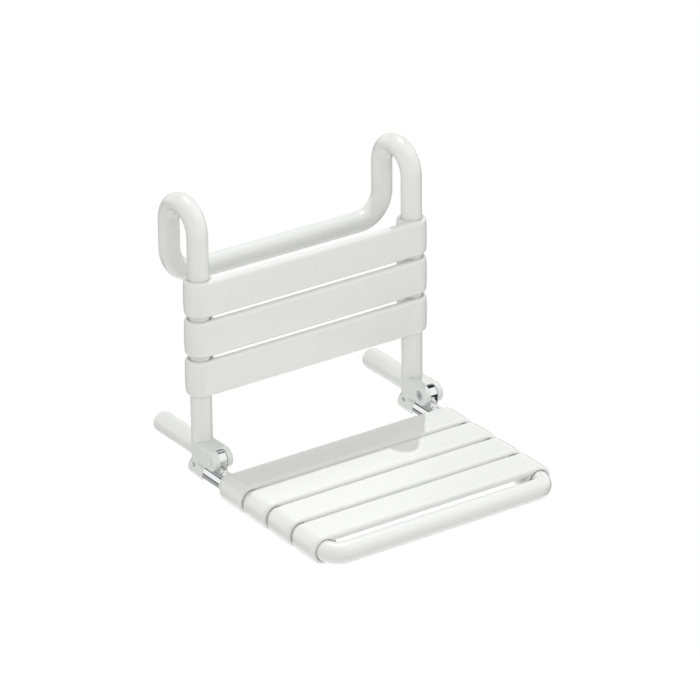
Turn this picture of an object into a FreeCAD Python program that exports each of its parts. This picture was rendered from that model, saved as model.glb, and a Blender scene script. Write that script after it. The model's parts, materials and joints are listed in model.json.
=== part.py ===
"""Hanging fold-down shower seat.

A bent tube frame hangs over a grab rail by two hooks and carries a slatted
backrest. A slatted seat turns up about two hinges, and two short stand-off
tubes lean on the wall. Millimetres, X to the right, Y towards the wall, Z up.
The origin is the axis of the hook bends, half way between the hooks, which is
where the rail lies.
"""
import FreeCAD, Part
import math
import os

Vector = FreeCAD.Vector
X_AXIS = Vector(1, 0, 0)
Y_AXIS = Vector(0, 1, 0)
Z_AXIS = Vector(0, 0, 1)

# Tubes: steel with a thick white nylon coat bonded to it
tube_diameter = 33.0
tube_wall = 4.0
fit_gap = 0.1

# Back frame
post_spacing = 392.8
hook_bend_radius = 40.0
cross_tube_drop = 93.0
cross_bend_radius = 46.0

# Slats, all alike
slat_width = 60.0
slat_pitch = 66.15
slat_count_back = 3
slat_count_seat = 4
slat_over_tube = 7.3
slat_inner_setback = 5.3
slat_crown = 1.0
slat_outer_rounding = 6.0
slat_inner_rounding = 4.6
slat_mouth = 2.5
slat_bore_gap = 0.1
slat_skin = 3.4
slat_rib = 2.6
slat_channels = 2
top_slat_drop = 96.2

# Hinge fitting, measured from its post's axis
pivot_drop = 352.9
pivot_reach = 45.5
arm_round_radius = 16.5
arm_half_width_front = 17.5
arm_half_width_rear = 16.2
arm_rounding = 3.0
seam_drop = 337.0
boss_front = 24.0
boss_rear_collar = 0.5
boss_rounding = 1.6
clevis_slot = 14.0
clevis_corner = 4.0
roof_edge = 46.0
post_socket_depth = 46.5
post_spigot_rise = 60.0
post_spigot_wall = 2.6
post_pin_depth = 40.0
post_pin_radius = 3.7
post_pin_recess = 2.4

# Seat, measured down from the pivot or forward from the post's axis
seat_drop = 33.3
stub_end = 70.0
stub_step = 0.2
first_slat_reach = 108.4
front_tube_reach = 358.1
seat_bend_radius = 25.0

# Knuckle
eye_radius = 15.0
eye_gap = 0.35
neck_front_step = 0.4
neck_rear_step = 2.6
neck_fillet = 2.6
stop_gap = 0.1
spigot_length = 26.0
knuckle_pin_reach = 14.0
knuckle_pin_radius = 2.5

# Pivot
pivot_radius = 4.0
bush_wall = 1.0
bush_flange = 0.5
bush_flange_radius = 8.5
bush_side_gap = 0.1
running_gap = 0.05
head_radius = 8.0
head_height = 4.4
head_proud = 0.4
head_socket_flats = 5.0
head_socket_depth = 2.4
nut_flats = 13.0
nut_height = 5.0
cap_radius = 9.0
cap_depth = 2.6
cap_dish_depth = 1.5
cap_rim = 0.7

# Stand-offs
standoff_reach = 112.0
standoff_spigot_length = 45.0
pad_thickness = 5.0
pad_rounding = 4.6
pad_stem_length = 20.0
standoff_screw_reach = 36.0
standoff_screw_radius = 3.0
standoff_screw_length = 10.0

# Slat screws
screw_radius = 2.5
screw_head_radius = 4.5
screw_head_height = 3.0
screw_head_sink = 0.6
screw_tip_from_axis = 8.0
screw_gap = 0.1

# Places worked out from the values above
tube_radius = tube_diameter / 2
bore_radius = tube_radius - tube_wall
spigot_radius = bore_radius - fit_gap
post_x = post_spacing / 2
post_y = -hook_bend_radius
leg_y = hook_bend_radius
seam_z = -seam_drop
pivot_y = post_y - pivot_reach
pivot_z = -pivot_drop
seat_z = pivot_z - seat_drop
stub_radius = tube_radius - stub_step
boss_rear = tube_radius + boss_rear_collar
neck_front = eye_radius - neck_front_step
neck_rear = eye_radius - neck_rear_step
slat_crest = tube_radius + slat_over_tube
slat_inner_face = tube_radius - slat_inner_setback
slat_bore_radius = tube_radius + slat_bore_gap
knuckle_half_width = clevis_slot / 2 - bush_side_gap - bush_flange
backrest_slats = [-top_slat_drop - i * slat_pitch for i in range(slat_count_back)]
seat_slats = [post_y - first_slat_reach - i * slat_pitch for i in range(slat_count_seat)]
SIDES = (("left", -1), ("right", 1))


def cylinder(radius, start, direction, length):
    return Part.makeCylinder(radius, length, start, direction)


def polygon_face(points):
    return Part.Face(Part.makePolygon(points + [points[0]]))


def revolved(edges, axis_point, axis, angle=360.0):
    """Solid turned from a closed chain of edges."""
    face = Part.Face(Part.Wire(Part.__sortEdges__(edges)))
    solid = face.revolve(axis_point, axis, angle)
    return outward(solid)


def outward(solid):
    if solid.Volume < 0:
        solid.reverse()
    return solid


def line(a, b):
    return Part.LineSegment(a, b).toShape()


def arc(a, middle, b):
    return Part.Arc(a, middle, b).toShape()


def round_corner(before, corner, after, radius):
    """Start, middle and end of the arc that rounds one corner of a route."""
    to_before = (before - corner).normalize()
    to_after = (after - corner).normalize()
    half_angle = to_before.getAngle(to_after) / 2
    setback = radius / math.tan(half_angle)
    bisector = (to_before + to_after).normalize()
    centre = corner + bisector * (radius / math.sin(half_angle))
    start = corner + to_before * setback
    end = corner + to_after * setback
    middle = centre - bisector * radius
    return start, middle, end


def bent_route(points, radii):
    """Centreline of a bent tube: straight runs joined by tangent arcs."""
    edges = []
    at = points[0]
    for i, radius in enumerate(radii, start=1):
        start, middle, end = round_corner(points[i - 1], points[i], points[i + 1], radius)
        if (start - at).Length > 1e-4:
            edges.append(line(at, start))
        edges.append(arc(start, middle, end))
        at = end
    edges.append(line(at, points[-1]))
    return Part.Wire(edges)


def bent_bar(points, radii, radius):
    route = bent_route(points, radii)
    start_direction = points[1] - points[0]
    ring = Part.Wire(Part.makeCircle(radius, points[0], start_direction))
    return outward(route.makePipeShell([ring], True, False))


def bent_tube(points, radii, outer, inner):
    return bent_bar(points, radii, outer).cut(bent_bar(points, radii, inner))


def back_frame_route():
    """Post, hook, back leg, cross tube, and the same again on the other side."""
    hook_top = hook_bend_radius
    cross_z = -cross_tube_drop
    half = [
        Vector(-post_x, post_y, seam_z),
        Vector(-post_x, post_y, hook_top),
        Vector(-post_x, leg_y, hook_top),
        Vector(-post_x, leg_y, cross_z),
    ]
    other = [Vector(-p.x, p.y, p.z) for p in reversed(half)]
    bends = [hook_bend_radius, hook_bend_radius, cross_bend_radius]
    return half + other, bends + bends[::-1]


def seat_frame_route():
    rear_y = post_y - stub_end
    front_y = post_y - front_tube_reach
    points = [
        Vector(-post_x, rear_y, seat_z),
        Vector(-post_x, front_y, seat_z),
        Vector(post_x, front_y, seat_z),
        Vector(post_x, rear_y, seat_z),
    ]
    return points, [seat_bend_radius, seat_bend_radius]


def crown_outline(place):
    """Outer outline of a slat's section: a shallow crown with rounded edges.

    The section is drawn across the slat's width and away from the tube axis.
    place turns (across, out) into a point. Returns the edges from the left
    edge to the right edge, and how far out the two straight edges begin.
    """
    half = slat_width / 2
    crown_radius = (half ** 2 + slat_crown ** 2) / (2 * slat_crown)
    crown_centre = slat_crest - crown_radius
    corner_across = half - slat_outer_rounding
    reach = crown_radius - slat_outer_rounding
    corner_out = crown_centre + math.sqrt(reach ** 2 - corner_across ** 2)
    angle = math.atan2(corner_out - crown_centre, corner_across)
    tangent = (crown_radius * math.cos(angle), crown_centre + crown_radius * math.sin(angle))
    middle_angle = angle / 2
    bulge = (
        corner_across + slat_outer_rounding * math.cos(middle_angle),
        corner_out + slat_outer_rounding * math.sin(middle_angle),
    )
    edges = [
        arc(place(-half, corner_out), place(-bulge[0], bulge[1]), place(-tangent[0], tangent[1])),
        arc(place(-tangent[0], tangent[1]), place(0, slat_crest), place(tangent[0], tangent[1])),
        arc(place(tangent[0], tangent[1]), place(bulge[0], bulge[1]), place(half, corner_out)),
    ]
    return edges, corner_out


def slat_plate():
    """The plate between the two tube axes, before its recess is cut."""
    def place(across, out):
        return Vector(-post_x, across, out)

    edges, shoulder = crown_outline(place)
    half = slat_width / 2
    inner = slat_inner_face
    rounding = slat_inner_rounding
    on_arc = rounding * (1 - math.sqrt(0.5))
    for side in (-1, 1):
        edges.append(line(place(side * half, shoulder), place(side * half, inner + rounding)))
        edges.append(arc(
            place(side * half, inner + rounding),
            place(side * (half - on_arc), inner + on_arc),
            place(side * (half - rounding), inner),
        ))
    edges.append(line(place(rounding - half, inner), place(half - rounding, inner)))
    face = Part.Face(Part.Wire(Part.__sortEdges__(edges)))
    return outward(face.extrude(Vector(post_spacing, 0, 0)))


def slat_sleeve(side):
    """Barrel round one tube. Its turn stops inside the plate."""
    def place(across, out):
        return Vector(side * post_x, across, out)

    edges, shoulder = crown_outline(place)
    half = slat_width / 2
    for end in (-1, 1):
        edges.append(line(place(end * half, shoulder), place(end * half, slat_bore_radius)))
    edges.append(line(place(-half, slat_bore_radius), place(half, slat_bore_radius)))
    turn_to_inner_side = 328.0
    axis = Vector(0, side, 0)
    return revolved(edges, Vector(side * post_x, 0, 0), axis, turn_to_inner_side)


def slat_lead_ins(side):
    """Cones that widen both mouths of the bore round one tube."""
    widest = slat_bore_radius + slat_mouth
    cones = []
    for end in (-1, 1):
        mouth = Vector(side * post_x, end * slat_width / 2, 0)
        cones.append(Part.makeCone(widest, slat_bore_radius, slat_mouth, mouth, Y_AXIS * -end))
    return cones


def slat_recess():
    """Long channels in the hidden side, with ribs between them."""
    reach = post_x - slat_crest - slat_rib
    inside = slat_width - 2 * slat_skin
    channel_pitch = (inside + slat_rib) / slat_channels
    depth = slat_crest - slat_crown - slat_skin - slat_inner_face
    channels = []
    for i in range(slat_channels):
        corner = Vector(-reach, -inside / 2 + i * channel_pitch, slat_inner_face - 1)
        channels.append(Part.makeBox(2 * reach, channel_pitch - slat_rib, depth + 1, corner))
    return channels


def slat_screw(side):
    """Slotted screw from the hidden side, through the sleeve into the tube."""
    seat = -(slat_crest - screw_head_sink - screw_head_height)
    start = Vector(side * post_x, 0, seat)
    head = Part.makeCone(screw_head_radius, 0.8 * screw_head_radius, screw_head_height, start, -Z_AXIS)
    shank = cylinder(screw_radius, start, Z_AXIS, -seat - screw_tip_from_axis)
    slot_depth = 0.4 * screw_head_height
    slot_corner = start + Vector(-screw_head_radius, -slot_depth / 2, -screw_head_height)
    slot = Part.makeBox(2 * screw_head_radius, slot_depth, slot_depth, slot_corner)
    return head.fuse(shank).cut(slot)


def slat_screw_hole(side, radius):
    start = Vector(side * post_x, 0, -slat_crest - 1)
    return cylinder(radius, start, Z_AXIS, slat_crest)


def slat_screw_counterbore(side):
    floor = -(slat_crest - screw_head_sink - screw_head_height)
    start = Vector(side * post_x, 0, floor)
    return cylinder(screw_head_radius + 3 * screw_gap, start, -Z_AXIS, slat_crest)


def make_slat():
    """One slat with its crown up and its tube axes in the plane z = 0."""
    slat = slat_plate()
    for _, side in SIDES:
        slat = slat.fuse(slat_sleeve(side))
    for _, side in SIDES:
        start = Vector(side * post_x, -slat_width, 0)
        slat = slat.cut(cylinder(slat_bore_radius, start, Y_AXIS, 2 * slat_width))
        slat = slat.cut(slat_lead_ins(side))
        slat = slat.cut(slat_screw_hole(side, screw_radius + screw_gap))
        slat = slat.cut(slat_screw_counterbore(side))
    return slat.cut(slat_recess())


def on_backrest(shape, z):
    """Stand a slat piece up with its crown to the front, at height z."""
    placed = shape.copy()
    placed.rotate(Vector(0, 0, 0), X_AXIS, 90)
    placed.translate(Vector(0, post_y, z))
    return placed


def on_seat(shape, y):
    placed = shape.copy()
    placed.translate(Vector(0, y, seat_z))
    return placed


def screw_holes(put, places):
    """Holes that the slat screws need in a tube."""
    return [
        put(slat_screw_hole(side, screw_radius + screw_gap / 2), at)
        for at in places
        for _, side in SIDES
    ]


def at_side(side, shape):
    """A piece drawn for the right hinge, mirrored for the left one.

    Hinge pieces are drawn with their own X measured outward from the post.
    """
    placed = shape.copy()
    placed.translate(Vector(post_x, 0, 0))
    if side < 0:
        placed = placed.mirror(Vector(0, 0, 0), X_AXIS)
    return placed


def fitting_arm():
    """Arm from the column to the clevis: wider at the clevis, round in front."""
    front_y = pivot_y - arm_round_radius
    narrowing = arm_half_width_front - arm_half_width_rear
    flank_radius = (pivot_reach ** 2 + narrowing ** 2) / (2 * narrowing)
    half_way = pivot_reach / 2
    half_way_x = arm_half_width_front - flank_radius + math.sqrt(flank_radius ** 2 - half_way ** 2)
    edges = [line(Vector(-arm_half_width_rear, post_y, 0), Vector(arm_half_width_rear, post_y, 0))]
    for side in (-1, 1):
        rear = Vector(side * arm_half_width_rear, post_y, 0)
        middle = Vector(side * half_way_x, pivot_y + half_way, 0)
        at_pivot = Vector(side * arm_half_width_front, pivot_y, 0)
        front = Vector(side * arm_half_width_front, front_y - 1, 0)
        edges.append(arc(rear, middle, at_pivot))
        edges.append(line(at_pivot, front))
    left_front = Vector(-arm_half_width_front, front_y - 1, 0)
    edges.append(line(left_front, Vector(arm_half_width_front, front_y - 1, 0)))
    plan = Part.Face(Part.Wire(Part.__sortEdges__(edges)))
    plan.translate(Vector(0, 0, pivot_z - 2 * arm_round_radius))
    plan_prism = plan.extrude(Vector(0, 0, 4 * arm_round_radius))
    top = pivot_z + arm_round_radius
    bottom = pivot_z - arm_round_radius
    side_x = -2 * arm_half_width_front
    side_edges = [
        line(Vector(side_x, post_y, bottom), Vector(side_x, post_y, top)),
        line(Vector(side_x, post_y, top), Vector(side_x, pivot_y, top)),
        arc(Vector(side_x, pivot_y, top), Vector(side_x, front_y, pivot_z), Vector(side_x, pivot_y, bottom)),
        line(Vector(side_x, pivot_y, bottom), Vector(side_x, post_y, bottom)),
    ]
    side_prism = Part.Face(Part.Wire(side_edges)).extrude(Vector(-2 * side_x, 0, 0))
    arm = outward(plan_prism.common(side_prism))
    rims = [e for e in arm.Edges if on_arm_rim(e)]
    return arm.makeFillet(arm_rounding, rims)


def on_arm_rim(edge):
    """Edges where the arm's two sides meet its top, front and bottom."""
    box = edge.BoundBox
    along_x = box.XLength > arm_half_width_rear
    at_column = box.YMin > post_y - 0.1
    upright = box.ZLength > 1.9 * arm_round_radius and box.YLength < 0.1
    return not (along_x or at_column or upright)


def clevis_cut():
    """Room for the knuckle: round over its eye, open below and in front."""
    clearance = eye_radius + eye_gap
    far = 4 * arm_round_radius
    roof_y = post_y - roof_edge
    roof_z = pivot_z + math.sqrt(clearance ** 2 - (roof_y - pivot_y) ** 2)
    back_y = pivot_y + clearance
    middle = math.radians(50)
    x = -clevis_slot / 2
    edges = [
        line(Vector(x, roof_y, pivot_z + far), Vector(x, roof_y, roof_z)),
        arc(
            Vector(x, roof_y, roof_z),
            Vector(x, pivot_y + clearance * math.cos(middle), pivot_z + clearance * math.sin(middle)),
            Vector(x, back_y, pivot_z),
        ),
        line(Vector(x, back_y, pivot_z), Vector(x, back_y, pivot_z - far)),
        line(Vector(x, back_y, pivot_z - far), Vector(x, pivot_y - far, pivot_z - far)),
        line(Vector(x, pivot_y - far, pivot_z - far), Vector(x, pivot_y - far, pivot_z + far)),
        line(Vector(x, pivot_y - far, pivot_z + far), Vector(x, roof_y, pivot_z + far)),
    ]
    room = outward(Part.Face(Part.Wire(edges)).extrude(Vector(clevis_slot, 0, 0)))
    roof_corners = [e for e in room.Edges if on_roof_corner(e, roof_y, roof_z)]
    return room.makeFillet(clevis_corner, roof_corners)


def on_roof_corner(edge, roof_y, roof_z):
    """Upright edges at the two ends of the roof's front edge."""
    box = edge.BoundBox
    upright = box.ZMin > roof_z - 0.1 and box.ZLength > arm_round_radius
    return upright and abs(box.YMin - roof_y) < 0.1


def hexagon(across_flats, x, length):
    """Hexagonal bar along X about the pivot axis."""
    corner = across_flats / math.sqrt(3)
    points = []
    for i in range(6):
        angle = math.radians(60 * i)
        points.append(Vector(x, pivot_y + corner * math.cos(angle), pivot_z + corner * math.sin(angle)))
    return polygon_face(points).extrude(Vector(length, 0, 0))


def on_pivot(x):
    return Vector(x, pivot_y, pivot_z)


def head_seat_x():
    return -(arm_half_width_front + head_proud - head_height)


def nut_outer_x():
    return arm_half_width_front - cap_depth


def make_hinge_fitting():
    """Casting: column, arm with clevis, stop boss and stand-off spigot."""
    boss_length = boss_rear + boss_front
    column_top = seam_z
    column = cylinder(tube_radius, Vector(0, post_y, seat_z), Z_AXIS, column_top - seat_z)
    boss = cylinder(tube_radius, Vector(0, post_y - boss_front, seat_z), Y_AXIS, boss_length)
    rear_rim = [e for e in boss.Edges if e.BoundBox.YMin > post_y + boss_rear - 0.1]
    boss = boss.makeFillet(boss_rounding, rear_rim)
    collar = cylinder(tube_radius, Vector(0, post_y, pivot_z), Y_AXIS, boss_rear)
    body = column.fuse(boss)
    body = body.fuse(collar)
    body = body.fuse(fitting_arm())
    spigot_start = Vector(0, post_y, pivot_z)
    spigot = cylinder(spigot_radius, spigot_start, Y_AXIS, boss_rear + standoff_spigot_length)
    tip = [e for e in spigot.Edges if e.BoundBox.YMin > post_y + boss_rear]
    body = body.fuse(spigot.makeChamfer(1.5, tip))
    tube_seat = cylinder(tube_radius + 0.1, Vector(0, post_y, seam_z), Z_AXIS, tube_radius)
    post_socket = cylinder(bore_radius, Vector(0, post_y, seam_z), -Z_AXIS, post_socket_depth)
    pin_start = Vector(-2 * tube_radius, post_y, seam_z - post_pin_depth)
    pin_hole = cylinder(post_pin_radius + running_gap, pin_start, X_AXIS, 4 * tube_radius)
    bolt_hole = cylinder(pivot_radius + running_gap, on_pivot(-2 * tube_radius), X_AXIS, 4 * tube_radius)
    head_hole = cylinder(head_radius + 2 * fit_gap, on_pivot(head_seat_x()), -X_AXIS, tube_radius)
    cap_hole = cylinder(cap_radius, on_pivot(nut_outer_x()), X_AXIS, tube_radius)
    nut_hole = hexagon(nut_flats + 2 * fit_gap, nut_outer_x() - nut_height, tube_radius)
    screw_start = Vector(0, post_y + standoff_screw_reach, standoff_screw_tip_z())
    screw_hole = cylinder(standoff_screw_radius + running_gap, screw_start, -Z_AXIS, tube_radius)
    cuts = [tube_seat, post_socket, clevis_cut(), pin_hole, bolt_hole, head_hole, cap_hole]
    cuts += [nut_hole, screw_hole]
    return body.cut(cuts).removeSplitter()


def make_post_pin():
    half = tube_radius - post_pin_recess
    start = Vector(-half, post_y, seam_z - post_pin_depth)
    pin = cylinder(post_pin_radius, start, X_AXIS, 2 * half)
    ends = [e for e in pin.Edges if e.BoundBox.XLength < 0.01]
    return pin.makeChamfer(0.6, ends)


def make_pivot_bolt():
    seat_x = head_seat_x()
    head = cylinder(head_radius, on_pivot(seat_x), -X_AXIS, head_height)
    rim = [e for e in head.Edges if e.BoundBox.XMax < seat_x - head_height / 2 and len(e.Vertexes) == 1]
    head = head.makeFillet(head_height * 0.35, rim)
    shank = cylinder(pivot_radius, on_pivot(seat_x), X_AXIS, nut_outer_x() - seat_x)
    socket = hexagon(head_socket_flats, seat_x - head_height, head_socket_depth)
    return head.fuse(shank).cut(socket)


def make_pivot_nut():
    start = nut_outer_x() - nut_height
    nut = hexagon(nut_flats, start, nut_height - running_gap)
    return nut.cut(cylinder(pivot_radius + running_gap, on_pivot(start - 1), X_AXIS, nut_height + 2))


def make_pivot_cap():
    """Round plug with a shallow dish, which hides the nut."""
    inner_x = nut_outer_x() + fit_gap / 2
    outer_x = arm_half_width_front - fit_gap
    radius = cap_radius - running_gap
    rim_radius = radius - cap_rim
    dish_x = outer_x - cap_dish_depth
    at = on_pivot(0)

    def place(x, out):
        return Vector(x, at.y, at.z + out)

    dish_curve = (rim_radius ** 2 + cap_dish_depth ** 2) / (2 * cap_dish_depth)
    on_dish = rim_radius / 2
    on_dish_x = dish_x + dish_curve - math.sqrt(dish_curve ** 2 - on_dish ** 2)
    edges = [
        line(place(inner_x, 0), place(inner_x, radius)),
        line(place(inner_x, radius), place(outer_x, radius)),
        line(place(outer_x, radius), place(outer_x, rim_radius)),
        arc(place(outer_x, rim_radius), place(on_dish_x, on_dish), place(dish_x, 0)),
        line(place(dish_x, 0), place(inner_x, 0)),
    ]
    return revolved(edges, at, X_AXIS)


def standoff_screw_tip_z():
    return pivot_z - tube_radius + 1 + standoff_screw_length


def make_standoff_tube():
    start = Vector(0, post_y + boss_rear, pivot_z)
    length = standoff_reach - boss_rear
    tube = cylinder(tube_radius, start, Y_AXIS, length)
    tube = tube.cut(cylinder(bore_radius, start, Y_AXIS, length))
    hole_start = Vector(0, post_y + standoff_screw_reach, pivot_z)
    return tube.cut(cylinder(standoff_screw_radius + running_gap, hole_start, -Z_AXIS, 2 * tube_radius))


def make_standoff_screw():
    start = Vector(0, post_y + standoff_screw_reach, standoff_screw_tip_z())
    screw = cylinder(standoff_screw_radius, start, -Z_AXIS, standoff_screw_length)
    outer_z = start.z - standoff_screw_length
    driver = standoff_screw_radius
    slot_corner = Vector(-driver, start.y - driver / 6, outer_z)
    return screw.cut(Part.makeBox(2 * driver, driver / 3, driver / 2, slot_corner))


def make_wall_pad():
    """Rounded end of a stand-off, with a stem that plugs into its tube."""
    shoulder_y = post_y + standoff_reach
    end_y = shoulder_y + pad_thickness
    flat_radius = tube_radius - pad_rounding
    on_arc = pad_rounding * math.sqrt(0.5)

    def place(y, out):
        return Vector(0, y, pivot_z + out)

    round_y = end_y - pad_rounding
    on_round = place(round_y + on_arc, flat_radius + on_arc)
    edges = [
        line(place(shoulder_y - pad_stem_length, 0), place(shoulder_y - pad_stem_length, spigot_radius)),
        line(place(shoulder_y - pad_stem_length, spigot_radius), place(shoulder_y, spigot_radius)),
        line(place(shoulder_y, spigot_radius), place(shoulder_y, tube_radius)),
        line(place(shoulder_y, tube_radius), place(round_y, tube_radius)),
        arc(place(round_y, tube_radius), on_round, place(end_y, flat_radius)),
        line(place(end_y, flat_radius), place(end_y, 0)),
        line(place(end_y, 0), place(shoulder_y - pad_stem_length, 0)),
    ]
    return revolved(edges, place(0, 0), Y_AXIS)


def make_knuckle():
    """Eye and neck on a stub, with a spigot that plugs into the seat tube."""
    width = 2 * knuckle_half_width
    stub_start = post_y - boss_front - stop_gap
    stub_stop = post_y - stub_end
    stub = cylinder(stub_radius, Vector(0, stub_start, seat_z), -Y_AXIS, stub_start - stub_stop)
    neck_corner = Vector(-knuckle_half_width, pivot_y - neck_front, seat_z)
    neck = Part.makeBox(width, neck_front + neck_rear, seat_drop, neck_corner)
    body = stub.fuse(neck)
    base = [e for e in body.Edges if on_neck_base(e)]
    body = body.makeFillet(neck_fillet, base)
    eye = cylinder(eye_radius, on_pivot(-knuckle_half_width), X_AXIS, width)
    body = body.fuse(eye)
    spigot = cylinder(spigot_radius, Vector(0, stub_stop, seat_z), -Y_AXIS, spigot_length)
    body = body.fuse(spigot)
    bush_hole = cylinder(pivot_radius + running_gap + bush_wall, on_pivot(-width), X_AXIS, 2 * width)
    return body.cut([bush_hole, knuckle_pin_hole()])


def on_neck_base(edge):
    """Edges where the neck meets the round of the stub."""
    box = edge.BoundBox
    inside_x = box.XMax < knuckle_half_width + 0.1 and box.XMin > -knuckle_half_width - 0.1
    inside_y = box.YMin > pivot_y - neck_front - 0.1 and box.YMax < pivot_y + neck_rear + 0.1
    low = box.ZMax < seat_z + stub_radius + 0.1
    high = box.ZMin > seat_z + stub_radius / 2
    return inside_x and inside_y and low and high


def knuckle_pin_hole():
    start = Vector(-2 * tube_radius, post_y - stub_end - knuckle_pin_reach, seat_z)
    return cylinder(knuckle_pin_radius + running_gap, start, X_AXIS, 4 * tube_radius)


def make_knuckle_pin():
    half = tube_radius - 0.6
    start = Vector(-half, post_y - stub_end - knuckle_pin_reach, seat_z)
    return cylinder(knuckle_pin_radius, start, X_AXIS, 2 * half)


def make_pivot_bush(outward_side):
    """Flanged bush pressed into one side of the eye."""
    direction = X_AXIS * outward_side
    face_x = knuckle_half_width * outward_side
    outer = pivot_radius + bush_wall
    sleeve_length = knuckle_half_width - 0.5
    sleeve = cylinder(outer, on_pivot(face_x), -direction, sleeve_length)
    flange = cylinder(bush_flange_radius, on_pivot(face_x), direction, bush_flange)
    hole = cylinder(pivot_radius + running_gap, on_pivot(-2 * tube_radius), X_AXIS, 4 * tube_radius)
    return sleeve.fuse(flange).cut(hole)


def make_post_spigot():
    """Steel sleeve that joins the post to the column of its hinge fitting."""
    bottom = Vector(0, post_y, seam_z - post_socket_depth + fit_gap)
    length = post_socket_depth - fit_gap + post_spigot_rise
    sleeve = cylinder(spigot_radius, bottom, Z_AXIS, length)
    sleeve = sleeve.cut(cylinder(spigot_radius - post_spigot_wall, bottom, Z_AXIS, length))
    pin_start = Vector(-2 * tube_radius, post_y, seam_z - post_pin_depth)
    return sleeve.cut(cylinder(post_pin_radius + running_gap, pin_start, X_AXIS, 4 * tube_radius))


def make_back_frame():
    points, radii = back_frame_route()
    tube = bent_tube(points, radii, tube_radius, bore_radius)
    return tube.cut(screw_holes(on_backrest, backrest_slats))


def make_seat_frame():
    points, radii = seat_frame_route()
    tube = bent_tube(points, radii, tube_radius, bore_radius)
    holes = screw_holes(on_seat, seat_slats)
    holes += [at_side(side, knuckle_pin_hole()) for _, side in SIDES]
    return tube.cut(holes)


def solid_of(shape):
    """The single solid of a shape, or the shape itself where it holds several."""
    solids = shape.Solids
    if len(solids) == 1:
        return solids[0]
    return Part.makeCompound(solids)


def save(name, shape):
    os.makedirs("parts", exist_ok=True)
    kept = solid_of(shape)
    if not kept.isValid():
        print("not valid:", name)
    kept.exportStep(os.path.join("parts", name + ".step"))
    print(name, len(kept.Solids), round(kept.Volume / 1000, 2), "cm3")


def save_frames():
    save("back_frame_tube", make_back_frame())
    save("seat_frame_tube", make_seat_frame())


def save_slats():
    slat = make_slat()
    screws = Part.makeCompound([slat_screw(side) for _, side in SIDES])
    for name, z in zip(("top", "middle", "bottom"), backrest_slats):
        save("backrest_slat_" + name, on_backrest(slat, z))
    for name, y in zip(("rear", "mid_rear", "mid_front", "front"), seat_slats):
        save("seat_slat_" + name, on_seat(slat, y))
    save("backrest_slat_screws", Part.makeCompound([on_backrest(screws, z) for z in backrest_slats]))
    save("seat_slat_screws", Part.makeCompound([on_seat(screws, y) for y in seat_slats]))


def save_hinges():
    pieces = {
        "hinge_fitting": make_hinge_fitting(),
        "post_spigot": make_post_spigot(),
        "post_pin": make_post_pin(),
        "pivot_bolt": make_pivot_bolt(),
        "pivot_nut": make_pivot_nut(),
        "pivot_cap": make_pivot_cap(),
        "standoff_tube": make_standoff_tube(),
        "standoff_screw": make_standoff_screw(),
        "wall_pad": make_wall_pad(),
        "hinge_knuckle": make_knuckle(),
        "knuckle_pin": make_knuckle_pin(),
    }
    for side_name, side in SIDES:
        for name, piece in pieces.items():
            save(name + "_" + side_name, at_side(side, piece))
        save("pivot_bush_" + side_name + "_outer", at_side(side, make_pivot_bush(1)))
        save("pivot_bush_" + side_name + "_inner", at_side(side, make_pivot_bush(-1)))


save_frames()
save_slats()
save_hinges()
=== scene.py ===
"""Looks of a hanging fold-down shower seat: white slats on coated tubes, chrome hinges."""
import json
import math

import bmesh
import bpy
from mathutils import Matrix, Vector


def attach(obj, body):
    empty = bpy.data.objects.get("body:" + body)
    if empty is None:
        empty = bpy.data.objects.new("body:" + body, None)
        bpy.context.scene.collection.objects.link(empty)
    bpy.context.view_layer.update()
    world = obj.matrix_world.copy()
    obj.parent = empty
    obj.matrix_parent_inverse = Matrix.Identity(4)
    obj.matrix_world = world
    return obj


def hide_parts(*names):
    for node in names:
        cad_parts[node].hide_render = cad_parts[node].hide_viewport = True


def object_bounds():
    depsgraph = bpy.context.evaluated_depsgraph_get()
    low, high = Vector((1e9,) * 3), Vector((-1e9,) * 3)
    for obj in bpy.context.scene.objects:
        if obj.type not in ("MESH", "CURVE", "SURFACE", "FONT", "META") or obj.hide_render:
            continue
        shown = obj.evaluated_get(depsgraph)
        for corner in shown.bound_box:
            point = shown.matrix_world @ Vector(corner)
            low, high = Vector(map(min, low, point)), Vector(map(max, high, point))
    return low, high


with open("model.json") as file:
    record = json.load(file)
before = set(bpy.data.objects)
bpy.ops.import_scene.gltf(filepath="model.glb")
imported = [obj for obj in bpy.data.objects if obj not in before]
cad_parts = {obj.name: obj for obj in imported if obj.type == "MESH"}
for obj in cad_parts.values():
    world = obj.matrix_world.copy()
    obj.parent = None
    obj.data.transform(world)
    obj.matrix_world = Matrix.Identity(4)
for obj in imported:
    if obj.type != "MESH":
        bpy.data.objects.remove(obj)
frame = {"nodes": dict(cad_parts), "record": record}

CAD_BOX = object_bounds()
QUARTER_TURN = math.pi / 2

# The camera of the photograph: a long lens, slightly rolled
IMAGE_SIDE = 700
SENSOR_SIDE = 36.0
FOCAL_PIXELS = 4798.7
AZIMUTH = math.radians(-34.177)
ELEVATION = math.radians(25.471)
ROLL = math.radians(0.563)

# The middle between the feet of the posts, and where the camera sees it, in metres
POST_FOOT = Vector((0.0, -0.040, -0.2577))
FOOT_RIGHT = -0.0652
FOOT_DOWN = 0.01483
FOOT_AWAY = 7.4175

# Light on the object. The sky is pairs of height, from 0 below to 1 above, and brightness
SUN_FROM = Vector((0.328, 0.44, 1.0))
SUN_STRENGTH = 1.6
SUN_COLOUR = (0.92, 0.93, 1.0)
SUN_ANGLE = math.radians(0.6)
SOFTBOX_AT = Vector((-0.15, -0.6, 0.3))
SOFTBOX_AIM = Vector((0.0, -0.06, -0.05))
SOFTBOX_SIDE = 0.35
SOFTBOX_POWER = 0.73
SKY_STOPS = [(0.2, 0.58), (0.5, 1.33), (0.8, 0.88)]

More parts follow.
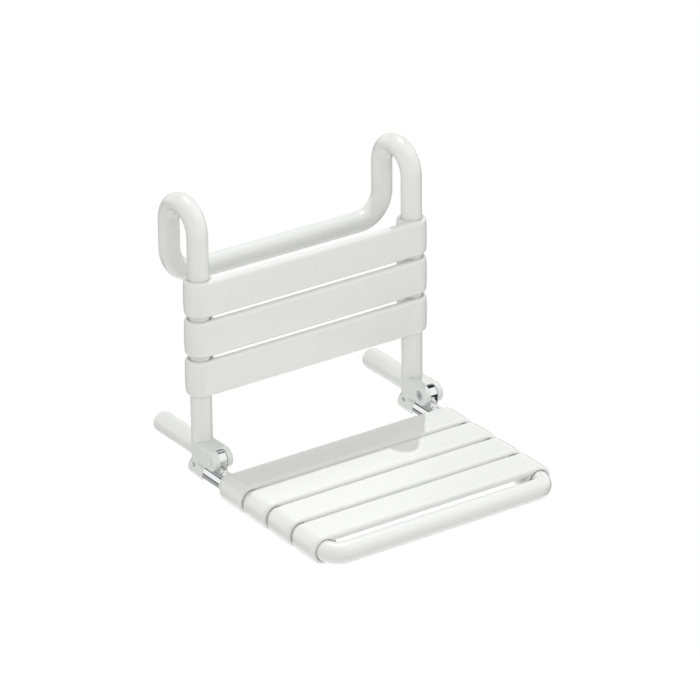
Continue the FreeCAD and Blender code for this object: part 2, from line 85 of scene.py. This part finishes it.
# The room that gloss and chrome mirror, in pairs of height and brightness too
DARK = 0.03
GROUND_STOPS = [(0.0, 0.02), (0.185, DARK), (0.2, 0.42), (0.37, 0.42), (0.385, DARK)]
FRONT_CARD_STOPS = [(0.0, 0.02), (0.43, DARK), (0.45, 1.0), (0.93, 1.0), (0.96, 0.15)]
REAR_CARD_STOPS = [(0.435, DARK), (0.45, 1.0), (0.695, 1.0), (0.725, DARK)]
FRONT_CARD_FROM = Vector((0.5, -0.87, 0.0))
FRONT_CARD_FADES_OUT = 0.3
FRONT_CARD_FULL = 0.42

# Pale floor, far enough below to leave the background white
FLOOR_DROP = 1.0
FLOOR_RADIUS = 1.3
FLOOR_CORNERS = 64

# Slats and their screws, in metres, as in the CAD model
POST_X = 0.1964
POST_Y = -0.040
SEAT_Z = -0.3862
SLATS = {
    "Width": 0.060,
    "Crest": 0.0238,
    "Crown": 0.001,
    "Inner face": 0.0112,
    "Outer rounding": 0.006,
    "Inner rounding": 0.0046,
    "Bore radius": 0.0166,
    "Mouth": 0.0025,
    "Skin": 0.0034,
    "Rib": 0.0026,
    "Hole radius": 0.0026,
    "Counterbore radius": 0.0048,
    "Head depth": 0.0036,
    "Half spacing": POST_X,
}
SCREWS = {
    "Head radius": 0.0045,
    "Head height": 0.003,
    "Shank radius": 0.0025,
    "Shank length": 0.0122,
    "Seat depth": 0.0202,
    "Half spacing": POST_X,
}
BACKREST_ROW = {
    "Count": 3,
    "Start": (0.0, POST_Y, -0.0962),
    "Step": (0.0, 0.0, -0.06615),
    "Turn": (QUARTER_TURN, 0.0, 0.0),
}
SEAT_ROW = {
    "Count": 4,
    "Start": (0.0, POST_Y - 0.1084, SEAT_Z),
    "Step": (0.0, -0.06615, 0.0),
    "Turn": (0.0, 0.0, 0.0),
}
BACKREST_SLATS = ("backrest_slat_top", "backrest_slat_middle", "backrest_slat_bottom")
SEAT_SLATS = ("seat_slat_rear", "seat_slat_mid_rear", "seat_slat_mid_front", "seat_slat_front")
PLATE_TURN = (QUARTER_TURN, 0.0, QUARTER_TURN)
PLATE_END_GAP = 0.0003
OUTER_FROM_SINE = -0.0001
CUTTER_REACH = 0.02

# Screws, as shares: of the head's radius or height, and the shank's middle of its length
HEAD_TAPER = 0.8
SLOT_SHARE = 0.4
SLOT_REACH = 3.0
SHANK_MIDDLE = -0.499

# Dished plugs over the pivot nuts, in metres
PIVOT_Y = -0.0855
PIVOT_Z = -0.3529
CAP_OUT = 0.0174
CAP_RADIUS = 0.00895
CAP_DEPTH = 0.00245
CAP_EDGE = 0.0004
CAP_RIM = 0.0014
CAP_DISH = 0.0022

# How finely the made pieces are divided, and the angle from which an edge is sharp
OUTLINE_STEPS = 48
AROUND_TUBE = 96
AROUND_SCREW = 32
AROUND_CAP = 64
CAP_EDGE_STEPS = 6
CAP_DISH_STEPS = 12
MERGE_WITHIN = 1e-6
SLAT_SHARP_FROM = math.radians(32)
CAP_SHARP_FROM = math.radians(40)

# Finishes
WHITE = (0.70, 0.705, 0.672)
CASTING_WHITE = (0.68, 0.695, 0.66)
CHROME = (0.86, 0.87, 0.88)
STAINLESS = (0.75, 0.75, 0.76)
BUSH_BLACK = (0.03, 0.03, 0.03)
FLOOR_GREY = (0.9, 0.9, 0.9)
NYLON_IOR = 1.5
EDGE_GLOSS_MOST = 0.9
EDGE_GLOSS_NARROWS = 4.0
EDGE_GLOSS_ROUGHNESS = 0.3


def add_object(name, data):
    added = bpy.data.objects.new(name, data)
    bpy.context.scene.collection.objects.link(added)
    return added


def new_material(name):
    material = bpy.data.materials.new(name)
    material.use_nodes = True
    nodes = material.node_tree.nodes
    shader = nodes["Principled BSDF"]
    return material, nodes, material.node_tree.links, shader


def object_coordinates(nodes):
    return nodes.new("ShaderNodeTexCoord").outputs["Object"]


def noise(nodes, links, coordinates, scale, detail):
    texture = nodes.new("ShaderNodeTexNoise")
    texture.inputs["Scale"].default_value = scale
    texture.inputs["Detail"].default_value = detail
    links.new(coordinates, texture.inputs["Vector"])
    return texture.outputs["Fac"]


def spread(nodes, links, source, low=0.0, high=1.0, source_low=0.0, source_high=1.0):
    """Spread a value, which runs from 0 to 1 unless said, between two numbers."""
    ramp = nodes.new("ShaderNodeMapRange")
    ramp.inputs["From Min"].default_value = source_low
    ramp.inputs["From Max"].default_value = source_high
    ramp.inputs["To Min"].default_value = low
    ramp.inputs["To Max"].default_value = high
    links.new(source, ramp.inputs["Value"])
    return ramp.outputs["Result"]


def bump(nodes, links, shader, height, strength, distance):
    node = nodes.new("ShaderNodeBump")
    node.inputs["Strength"].default_value = strength
    node.inputs["Distance"].default_value = distance
    links.new(height, node.inputs["Height"])
    links.new(node.outputs["Normal"], shader.inputs["Normal"])


def mixed_colour(nodes, links, factor, first, second):
    """Mix of two colours, each a plain one or another node's output."""
    mix = nodes.new("ShaderNodeMix")
    mix.data_type = "RGBA"
    links.new(factor, mix.inputs["Factor"])
    for name, colour in (("A", first), ("B", second)):
        if isinstance(colour, bpy.types.NodeSocket):
            links.new(colour, mix.inputs[name])
        else:
            mix.inputs[name].default_value = (*colour, 1)
    return mix.outputs["Result"]


def mixed_shader(nodes, links, factor, first, second):
    mix = nodes.new("ShaderNodeMixShader")
    links.new(factor, mix.inputs["Fac"])
    links.new(first, mix.inputs[1])
    links.new(second, mix.inputs[2])
    return mix.outputs["Shader"]


def cloudy_colour(nodes, links, shader, cloud, colour, darkest):
    """Base colour that a noise darkens here and there, down to a share of itself."""
    darker = tuple(darkest * level for level in colour)
    mixed = mixed_colour(nodes, links, cloud, colour, darker)
    links.new(mixed, shader.inputs["Base Color"])


def uneven_roughness(nodes, links, shader, grain, low, high):
    links.new(spread(nodes, links, grain, low, high), shader.inputs["Roughness"])


def edge_gloss(nodes, links, shader):
    """More mirror-like towards the outline, as a thick glossy coat looks."""
    weight = nodes.new("ShaderNodeLayerWeight")
    grazing = nodes.new("ShaderNodeMath")
    grazing.operation = "POWER"
    grazing.inputs[1].default_value = EDGE_GLOSS_NARROWS
    links.new(weight.outputs["Facing"], grazing.inputs[0])
    share = spread(nodes, links, grazing.outputs["Value"], high=EDGE_GLOSS_MOST)
    gloss = nodes.new("ShaderNodeBsdfGlossy")
    gloss.inputs["Roughness"].default_value = EDGE_GLOSS_ROUGHNESS
    coated = mixed_shader(nodes, links, share, shader.outputs["BSDF"], gloss.outputs["BSDF"])
    links.new(coated, nodes["Material Output"].inputs["Surface"])


def white_nylon():
    """Satin moulded nylon: faint cloudiness and a very fine orange peel."""
    material, nodes, links, shader = new_material("white_nylon")
    place = object_coordinates(nodes)
    cloud = noise(nodes, links, place, scale=9.0, detail=3.0)
    cloudy_colour(nodes, links, shader, cloud, WHITE, darkest=0.97)
    grain = noise(nodes, links, place, scale=900.0, detail=2.0)
    uneven_roughness(nodes, links, shader, grain, low=0.22, high=0.32)
    bump(nodes, links, shader, grain, strength=0.02, distance=0.0002)
    shader.inputs["IOR"].default_value = NYLON_IOR
    edge_gloss(nodes, links, shader)
    return material


def white_casting():
    """Powder coat on a casting: a little greyer and grainier than the nylon."""
    material, nodes, links, shader = new_material("white_casting")
    place = object_coordinates(nodes)
    cloud = noise(nodes, links, place, scale=25.0, detail=3.0)
    cloudy_colour(nodes, links, shader, cloud, CASTING_WHITE, darkest=0.96)
    grain = noise(nodes, links, place, scale=700.0, detail=3.0)
    uneven_roughness(nodes, links, shader, grain, low=0.28, high=0.4)
    bump(nodes, links, shader, grain, strength=0.04, distance=0.0003)
    edge_gloss(nodes, links, shader)
    return material


def chrome():
    """Polished chrome with the faintest smears."""
    material, nodes, links, shader = new_material("chrome")
    shader.inputs["Base Color"].default_value = (*CHROME, 1)
    shader.inputs["Metallic"].default_value = 1.0
    smear = noise(nodes, links, object_coordinates(nodes), scale=60.0, detail=4.0)
    uneven_roughness(nodes, links, shader, smear, low=0.03, high=0.09)
    return material


def steel():
    """Plain stainless steel of screws and pins."""
    material, nodes, links, shader = new_material("steel")
    shader.inputs["Base Color"].default_value = (*STAINLESS, 1)
    shader.inputs["Metallic"].default_value = 1.0
    grain = noise(nodes, links, object_coordinates(nodes), scale=400.0, detail=4.0)
    uneven_roughness(nodes, links, shader, grain, low=0.35, high=0.5)
    return material


def bush_plastic():
    """Dark bearing plastic of the pivot bushes."""
    material, nodes, links, shader = new_material("bush_plastic")
    shader.inputs["Base Color"].default_value = (*BUSH_BLACK, 1)
    grain = noise(nodes, links, object_coordinates(nodes), scale=500.0, detail=2.0)
    uneven_roughness(nodes, links, shader, grain, low=0.45, high=0.6)
    return material


MATERIALS = {
    "white_nylon": white_nylon(),
    "white_casting": white_casting(),
    "chrome": chrome(),
    "steel": steel(),
    "bush_plastic": bush_plastic(),
}


def dress_cad_nodes():
    """Give each carried-over node the material of its slot."""
    for part in frame["record"]["subparts"]:
        node = frame["nodes"][part["node"]]
        node.data.materials.clear()
        node.data.materials.append(MATERIALS[part["material_slot"]])


def new_tree(name, sizes):
    """Geometry node tree with one named input for each size."""
    tree = bpy.data.node_groups.new(name, "GeometryNodeTree")
    tree.interface.new_socket("Geometry", in_out="OUTPUT", socket_type="NodeSocketGeometry")
    for label, value in sizes.items():
        kind = "NodeSocketFloat"
        if isinstance(value, int):
            kind = "NodeSocketInt"
        if isinstance(value, tuple):
            kind = "NodeSocketVector"
        tree.interface.new_socket(label, in_out="INPUT", socket_type=kind)
    return tree, tree.nodes.new("NodeGroupInput").outputs


def put(tree, kind, inputs, **settings):
    """Add a node. An input is a value, another node's output or a list of outputs."""
    node = tree.nodes.new(kind)
    for name, value in settings.items():
        setattr(node, name, value)
    for key, value in inputs.items():
        for each in value if isinstance(value, list) else [value]:
            if isinstance(each, bpy.types.NodeSocket):
                tree.links.new(each, node.inputs[key])
            else:
                node.inputs[key].default_value = each
    return node.outputs[0]


def calc(tree, operation, a, b=0.0):
    return put(tree, "ShaderNodeMath", {0: a, 1: b}, operation=operation)


def greater(tree, a, b):
    inputs = {0: a, 1: b}
    return put(tree, "FunctionNodeCompare", inputs, data_type="FLOAT", operation="GREATER_THAN")


def vector(tree, x, y, z):
    return put(tree, "ShaderNodeCombineXYZ", {0: x, 1: y, 2: z})


def moved(tree, geometry, place, turn=(0.0, 0.0, 0.0)):
    inputs = {"Geometry": geometry, "Translation": place, "Rotation": turn}
    return put(tree, "GeometryNodeTransform", inputs)


def fused(tree, solids):
    return put(tree, "GeometryNodeMeshBoolean", {1: solids}, operation="UNION", solver="MANIFOLD")


def cut(tree, solid, cutters):
    inputs = {0: solid, 1: cutters}
    return put(tree, "GeometryNodeMeshBoolean", inputs, operation="DIFFERENCE", solver="MANIFOLD")


def cylinder(tree, around, radius, depth):
    inputs = {"Vertices": around, "Radius": radius, "Depth": depth}
    return put(tree, "GeometryNodeMeshCylinder", inputs)


def cone(tree, around, top, bottom, depth):
    inputs = {"Vertices": around, "Radius Top": top, "Radius Bottom": bottom, "Depth": depth}
    return put(tree, "GeometryNodeMeshCone", inputs)


def side_place(tree, size, side):
    """Place of the left or right tube along the slat."""
    return calc(tree, "MULTIPLY", size["Half spacing"], float(side))


def rounding_drop(tree, across, half, radius):
    """How far a rounded edge falls below its flat, at a place across the slat."""
    flat = calc(tree, "SUBTRACT", half, radius)
    past_flat = calc(tree, "SUBTRACT", calc(tree, "ABSOLUTE", across), flat)
    beyond = calc(tree, "MAXIMUM", past_flat, 0.0)
    squared = calc(tree, "SUBTRACT", calc(tree, "POWER", radius, 2.0), calc(tree, "POWER", beyond, 2.0))
    rise = calc(tree, "SQRT", calc(tree, "MAXIMUM", squared, 0.0))
    return calc(tree, "SUBTRACT", radius, rise)


def slat_outline(tree, size):
    """Fields that follow a slat's section: angle, place across, outer and inner height."""
    index = put(tree, "GeometryNodeInputIndex", {})
    angle = calc(tree, "MULTIPLY", index, math.pi / OUTLINE_STEPS)
    half = calc(tree, "MULTIPLY", size["Width"], 0.5)
    across = calc(tree, "MULTIPLY", half, calc(tree, "COSINE", angle))
    share = calc(tree, "POWER", calc(tree, "DIVIDE", across, half), 2.0)
    crown = calc(tree, "SUBTRACT", size["Crest"], calc(tree, "MULTIPLY", size["Crown"], share))
    outer = calc(tree, "SUBTRACT", crown, rounding_drop(tree, across, half, size["Outer rounding"]))
    inner_drop = rounding_drop(tree, across, half, size["Inner rounding"])
    inner = calc(tree, "ADD", size["Inner face"], inner_drop)
    return angle, across, outer, inner


def slat_plate(tree, size):
    """Solid plate between the two tube axes. The sine of the angle tells its outer face."""
    angle, across, outer, inner = slat_outline(tree, size)
    above = greater(tree, calc(tree, "SINE", angle), OUTER_FROM_SINE)
    height = put(tree, "GeometryNodeSwitch", {0: above, 1: inner, 2: outer}, input_type="FLOAT")
    ring = put(tree, "GeometryNodeCurvePrimitiveCircle", {"Resolution": 2 * OUTLINE_STEPS})
    place = vector(tree, across, height, 0.0)
    outline = put(tree, "GeometryNodeSetPosition", {"Geometry": ring, "Position": place})
    reach = calc(tree, "SUBTRACT", size["Half spacing"], PLATE_END_GAP)
    start = vector(tree, 0.0, 0.0, calc(tree, "MULTIPLY", reach, -1.0))
    end = vector(tree, 0.0, 0.0, reach)
    spine = put(tree, "GeometryNodeCurvePrimitiveLine", {"Start": start, "End": end})
    inputs = {"Curve": spine, "Profile Curve": outline, "Fill Caps": True}
    plate = put(tree, "GeometryNodeCurveToMesh", inputs)
    return moved(tree, plate, (0.0, 0.0, 0.0), PLATE_TURN)


def slat_barrel(tree, size, side):
    """Solid barrel round one tube, turned from the same outline."""
    _, across, outer, _ = slat_outline(tree, size)
    inputs = {"Start": (0.0, -1.0, 0.0), "End": (0.0, 1.0, 0.0)}
    line = put(tree, "GeometryNodeCurvePrimitiveLine", inputs)
    spine = put(tree, "GeometryNodeResampleCurve", {"Curve": line, "Count": OUTLINE_STEPS + 1})
    place = vector(tree, 0.0, across, 0.0)
    spine = put(tree, "GeometryNodeSetPosition", {"Geometry": spine, "Position": place})
    inputs = {"Resolution": AROUND_TUBE, "Radius": 1.0}
    ring = put(tree, "GeometryNodeCurvePrimitiveCircle", inputs)
    inputs = {"Curve": spine, "Profile Curve": ring, "Scale": outer, "Fill Caps": True}
    barrel = put(tree, "GeometryNodeCurveToMesh", inputs)
    return moved(tree, barrel, vector(tree, side_place(tree, size, side), 0.0, 0.0))


def slat_bore(tree, size, side):
    """Bore for one tube, with a cone at each mouth."""
    centre = vector(tree, side_place(tree, size, side), 0.0, 0.0)
    length = calc(tree, "MULTIPLY", size["Width"], 2.0)
    bore = cylinder(tree, AROUND_TUBE, size["Bore radius"], length)
    cutters = [moved(tree, bore, centre, (QUARTER_TURN, 0.0, 0.0))]
    widest = calc(tree, "ADD", size["Bore radius"], size["Mouth"])
    for end in (-1, 1):
        lead_in = cone(tree, AROUND_TUBE, size["Bore radius"], widest, size["Mouth"])
        mouth = calc(tree, "MULTIPLY", size["Width"], 0.5 * end)
        place = vector(tree, side_place(tree, size, side), mouth, 0.0)
        cutters.append(moved(tree, lead_in, place, (QUARTER_TURN * end, 0.0, 0.0)))
    return cutters


def slat_screw_room(tree, size, side):
    """Hole and counterbore of one screw, from the hidden side."""
    head_seat = calc(tree, "SUBTRACT", size["Head depth"], size["Crest"])
    cutters = []
    for radius, top in (("Hole radius", 0.0), ("Counterbore radius", head_seat)):
        pin = cylinder(tree, AROUND_SCREW, size[radius], 2 * CUTTER_REACH)
        height = calc(tree, "SUBTRACT", top, CUTTER_REACH)
        place = vector(tree, side_place(tree, size, side), 0.0, height)
        cutters.append(moved(tree, pin, place))
    return cutters


def slat_channels(tree, size):
    """Two long channels in the hidden side."""
    to_barrel = calc(tree, "SUBTRACT", size["Half spacing"], size["Crest"])
    reach = calc(tree, "SUBTRACT", to_barrel, size["Rib"])
    length = calc(tree, "MULTIPLY", reach, 2.0)
    inside = calc(tree, "SUBTRACT", size["Width"], calc(tree, "MULTIPLY", size["Skin"], 2.0))
    width = calc(tree, "MULTIPLY", calc(tree, "SUBTRACT", inside, size["Rib"]), 0.5)
    roof = calc(tree, "SUBTRACT", calc(tree, "SUBTRACT", size["Crest"], size["Crown"]), size["Skin"])
    centre = calc(tree, "MULTIPLY", calc(tree, "ADD", width, size["Rib"]), 0.5)
    box = put(tree, "GeometryNodeMeshCube", {"Size": vector(tree, length, width, 2 * CUTTER_REACH)})
    height = calc(tree, "SUBTRACT", roof, CUTTER_REACH)
    places = [calc(tree, "MULTIPLY", centre, float(side)) for side in (-1, 1)]
    return [moved(tree, box, vector(tree, 0.0, place, height)) for place in places]


def row_of(tree, size, geometry, material):
    """Copies of one piece along a row, as real geometry, smooth but for its corners."""
    inputs = {"Count": size["Count"], "Start Location": size["Start"], "Offset": size["Step"]}
    line = put(tree, "GeometryNodeMeshLine", inputs, mode="OFFSET")
    inputs = {"Points": line, "Instance": geometry, "Rotation": size["Turn"]}
    copies = put(tree, "GeometryNodeInstanceOnPoints", inputs)
    copies = put(tree, "GeometryNodeRealizeInstances", {"Geometry": copies})
    copies = put(tree, "GeometryNodeSetShadeSmooth", {"Geometry": copies, "Shade Smooth": True})
    corner = greater(tree, put(tree, "GeometryNodeInputMeshEdgeAngle", {}), SLAT_SHARP_FROM)
    inputs = {"Geometry": copies, "Selection": corner, "Shade Smooth": False}
    copies = put(tree, "GeometryNodeSetShadeSmooth", inputs, domain="EDGE")
    done = put(tree, "GeometryNodeSetMaterial", {"Geometry": copies, "Material": material})
    tree.links.new(done, tree.nodes.new("NodeGroupOutput").inputs[0])


def slat_tree(sizes):
    """Row of slats: plate and two barrels, bored for the tubes and screws, channelled below."""
    tree, size = new_tree("slat_row", sizes)
    solids = [slat_plate(tree, size)]
    cutters = slat_channels(tree, size)
    for side in (-1, 1):
        solids.append(slat_barrel(tree, size, side))
        cutters += slat_bore(tree, size, side)
        cutters += slat_screw_room(tree, size, side)
    slat = cut(tree, fused(tree, solids), cutters)
    row_of(tree, size, slat, MATERIALS["white_nylon"])
    return tree


def slotted_screw(tree, size):
    """Screw along its own axis, with a slightly tapered head that has one slot."""
    top = calc(tree, "MULTIPLY", size["Head radius"], HEAD_TAPER)
    head = cone(tree, AROUND_SCREW, top, size["Head radius"], size["Head height"])
    shank = cylinder(tree, AROUND_SCREW, size["Shank radius"], size["Shank length"])
    drop = calc(tree, "MULTIPLY", size["Shank length"], SHANK_MIDDLE)
    shank = moved(tree, shank, vector(tree, 0.0, 0.0, drop))
    slot_length = calc(tree, "MULTIPLY", size["Head radius"], SLOT_REACH)
    slot_depth = calc(tree, "MULTIPLY", size["Head height"], SLOT_SHARE)
    slot_size = vector(tree, slot_length, slot_depth, calc(tree, "MULTIPLY", slot_depth, 2.0))
    slot = put(tree, "GeometryNodeMeshCube", {"Size": slot_size})
    slot = moved(tree, slot, vector(tree, 0.0, 0.0, size["Head height"]))
    return cut(tree, fused(tree, [head, shank]), slot)


def screw_tree(sizes):
    """Row of screw pairs, two for each slat, heads towards the hidden side."""
    tree, size = new_tree("screw_row", sizes)
    screw = slotted_screw(tree, size)
    height = calc(tree, "MULTIPLY", size["Seat depth"], -1.0)
    pair = []
    for side in (-1, 1):
        place = vector(tree, side_place(tree, size, side), 0.0, height)
        pair.append(moved(tree, screw, place, (math.pi, 0.0, 0.0)))
    both = put(tree, "GeometryNodeJoinGeometry", {"Geometry": pair})
    row_of(tree, size, both, MATERIALS["steel"])
    return tree


def grow(name, tree, sizes):
    """Run a tree with its sizes and keep the result as a plain mesh."""
    mould = add_object(name + "_mould", bpy.data.meshes.new(name + "_mould"))
    modifier = mould.modifiers.new("tree", "NODES")
    modifier.node_group = tree
    for item in tree.interface.items_tree:
        if item.in_out == "INPUT":
            modifier[item.identifier] = sizes[item.name]
    evaluated = mould.evaluated_get(bpy.context.evaluated_depsgraph_get())
    mesh = bpy.data.meshes.new_from_object(evaluated)
    mesh.name = name
    bpy.data.objects.remove(mould)
    return add_object(name, mesh)


def slats_and_screws():
    """One piece for the slats and one for the screws of the backrest and of the seat."""
    slat_row = slat_tree({**SLATS, **SEAT_ROW})
    screw_row = screw_tree({**SCREWS, **SEAT_ROW})
    rows = {
        "backrest": (BACKREST_ROW, "root", BACKREST_SLATS),
        "seat": (SEAT_ROW, "seat", SEAT_SLATS),
    }
    for part, (row, body, slat_nodes) in rows.items():
        slats = grow(part + "_slats", slat_row, {**SLATS, **row})
        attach(slats, body)
        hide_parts(*slat_nodes)
        screws = grow(part + "_screws", screw_row, {**SCREWS, **row})
        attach(screws, body)
        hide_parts(part + "_slat_screws")


def cap_outline():
    """Half section of a dished plug: place along its axis and radius."""
    points = [(-CAP_DEPTH, 0.0), (-CAP_DEPTH, CAP_RADIUS)]
    for i in range(CAP_EDGE_STEPS + 1):
        angle = QUARTER_TURN * i / CAP_EDGE_STEPS
        along = -CAP_EDGE + CAP_EDGE * math.sin(angle)
        points.append((along, CAP_RADIUS - CAP_EDGE + CAP_EDGE * math.cos(angle)))
    dish_radius = CAP_RADIUS - CAP_RIM
    for i in range(CAP_DISH_STEPS + 1):
        share = 1 - i / CAP_DISH_STEPS
        points.append((-CAP_DISH * (1 - share ** 2), dish_radius * share))
    return points


def turned_cap(shell, side):
    """Turn the half section of a dished plug round its axis, on the left or right pivot."""
    flip = Matrix.Diagonal((side, 1, 1, 1))
    place = Matrix.Translation((side * (POST_X + CAP_OUT), PIVOT_Y, PIVOT_Z)) @ flip
    rings = []
    for along, radius in cap_outline():
        ring = []
        for i in range(AROUND_CAP):
            angle = 4 * QUARTER_TURN * i / AROUND_CAP
            corner = Vector((along, radius * math.sin(angle), radius * math.cos(angle)))
            ring.append(shell.verts.new(place @ corner))
        rings.append(ring)
    for ring, following in zip(rings, rings[1:]):
        for i in range(AROUND_CAP):
            shell.faces.new((ring[i - 1], following[i - 1], following[i], ring[i]))


def pivot_caps():
    """The dished plugs over the two pivot nuts, as one piece."""
    shell = bmesh.new()
    for side in (-1, 1):
        turned_cap(shell, side)
    bmesh.ops.remove_doubles(shell, verts=shell.verts, dist=MERGE_WITHIN)
    bmesh.ops.recalc_face_normals(shell, faces=shell.faces)
    mesh = bpy.data.meshes.new("pivot_caps")
    shell.to_mesh(mesh)
    shell.free()
    mesh.shade_smooth()
    mesh.set_sharp_from_angle(angle=CAP_SHARP_FROM)
    mesh.materials.append(MATERIALS["white_nylon"])
    caps = add_object("pivot_caps", mesh)
    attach(caps, "root")
    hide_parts("pivot_cap_left", "pivot_cap_right")


def photo_camera():
    """Camera that sees the foot of the posts where the photograph shows it."""
    forward = Vector((
        -math.sin(AZIMUTH) * math.cos(ELEVATION),
        math.cos(AZIMUTH) * math.cos(ELEVATION),
        -math.sin(ELEVATION),
    ))
    level_right = forward.cross(Vector((0, 0, 1))).normalized()
    level_down = forward.cross(level_right)
    right = level_right * math.cos(ROLL) + level_down * math.sin(ROLL)
    down = forward.cross(right)
    data = bpy.data.cameras.new("photo_camera")
    data.sensor_width = SENSOR_SIDE
    data.lens = FOCAL_PIXELS / IMAGE_SIDE * SENSOR_SIDE
    camera = add_object("photo_camera", data)
    turn = Matrix((right, -down, -forward)).transposed()
    place = POST_FOOT - right * FOOT_RIGHT - down * FOOT_DOWN - forward * FOOT_AWAY
    camera.matrix_world = Matrix.Translation(place) @ turn.to_4x4()
    bpy.context.scene.camera = camera


def ray_kinds(nodes, links):
    """Two masks: the rays that see the backdrop itself, and those that a surface mirrors."""
    path = nodes.new("ShaderNodeLightPath")
    seen = nodes.new("ShaderNodeMath")
    seen.operation = "MAXIMUM"
    links.new(path.outputs["Is Camera Ray"], seen.inputs[0])
    links.new(path.outputs["Is Transmission Ray"], seen.inputs[1])
    return seen.outputs["Value"], path.outputs["Is Glossy Ray"]


def greys_by_height(nodes, links, height, stops):
    """Colour ramp of greys: height and brightness pairs."""
    node = nodes.new("ShaderNodeValToRGB")
    elements = node.color_ramp.elements
    while len(elements) < len(stops):
        elements.new(0.5)
    for element, (position, grey) in zip(elements, stops):
        element.position = position
        element.color = (grey, grey, grey, 1)
    links.new(height, node.inputs["Fac"])
    return node.outputs["Color"]


def mirrored_room(nodes, links, direction, height):
    """What gloss and chrome see: a white card high in front, a lower one behind."""
    in_front = greys_by_height(nodes, links, height, FRONT_CARD_STOPS)
    behind = greys_by_height(nodes, links, height, GROUND_STOPS + REAR_CARD_STOPS)
    facing = nodes.new("ShaderNodeVectorMath")
    facing.operation = "DOT_PRODUCT"
    facing.inputs[1].default_value = FRONT_CARD_FROM
    links.new(direction, facing.inputs[0])
    fade = {"source_low": FRONT_CARD_FADES_OUT, "source_high": FRONT_CARD_FULL}
    share = spread(nodes, links, facing.outputs["Value"], **fade)
    return mixed_colour(nodes, links, share, behind, in_front)


def background(nodes, links, colour):
    """World shader of brightness 1 in a plain colour or another node's colour."""
    node = nodes.new("ShaderNodeBackground")
    if isinstance(colour, bpy.types.NodeSocket):
        links.new(colour, node.inputs["Color"])
    else:
        node.inputs["Color"].default_value = (*colour, 1)
    return node.outputs["Background"]


def studio_world():
    """Sky that lights the object, a room for gloss to mirror and a white backdrop."""
    world = bpy.data.worlds.new("studio")
    world.use_nodes = True
    nodes = world.node_tree.nodes
    links = world.node_tree.links
    direction = nodes.new("ShaderNodeTexCoord").outputs["Generated"]
    parts = nodes.new("ShaderNodeSeparateXYZ")
    links.new(direction, parts.inputs["Vector"])
    height = spread(nodes, links, parts.outputs["Z"], source_low=-1.0)
    sky = background(nodes, links, greys_by_height(nodes, links, height, SKY_STOPS))
    mirrored = background(nodes, links, mirrored_room(nodes, links, direction, height))
    white = background(nodes, links, (1, 1, 1))
    seen, glossy = ray_kinds(nodes, links)
    lit = mixed_shader(nodes, links, glossy, sky, mirrored)
    shown = mixed_shader(nodes, links, seen, lit, white)
    links.new(shown, nodes["World Output"].inputs["Surface"])
    bpy.context.scene.world = world


def hung_lamp(data, shines_from):
    """Lamp turned so that its light comes from the given direction."""
    lamp = add_object(data.name, data)
    lamp.rotation_mode = "QUATERNION"
    lamp.rotation_quaternion = shines_from.to_track_quat("Z", "Y")
    return lamp


def sun():
    """Hard light from above and behind, slightly blue, for the shadow on the rear slat."""
    data = bpy.data.lights.new("sun", "SUN")
    data.energy = SUN_STRENGTH
    data.color = SUN_COLOUR
    data.angle = SUN_ANGLE
    hung_lamp(data, SUN_FROM)


def softbox():
    """Soft square lamp above and in front of the backrest, not mirrored in the gloss."""
    data = bpy.data.lights.new("softbox", "AREA")
    data.energy = SOFTBOX_POWER
    data.size = SOFTBOX_SIDE
    lamp = hung_lamp(data, SOFTBOX_AT - SOFTBOX_AIM)
    lamp.location = SOFTBOX_AT
    lamp.visible_camera = False
    lamp.visible_glossy = False


def pale_floor():
    """Round floor far below the hanging seat."""
    height = CAD_BOX[0].z - FLOOR_DROP
    corners = []
    for i in range(FLOOR_CORNERS):
        angle = 4 * QUARTER_TURN * i / FLOOR_CORNERS
        corners.append((FLOOR_RADIUS * math.cos(angle), FLOOR_RADIUS * math.sin(angle), height))
    mesh = bpy.data.meshes.new("floor")
    mesh.from_pydata(corners, [], [tuple(range(FLOOR_CORNERS))])
    floor = add_object("floor", mesh)
    material, nodes, links, shader = new_material("floor_paint")
    shader.inputs["Base Color"].default_value = (*FLOOR_GREY, 1)
    shader.inputs["Roughness"].default_value = 1.0
    mesh.materials.append(material)


bpy.context.scene.view_settings.view_transform = "Standard"
dress_cad_nodes()
slats_and_screws()
pivot_caps()
photo_camera()
studio_world()
sun()
softbox()
pale_floor()
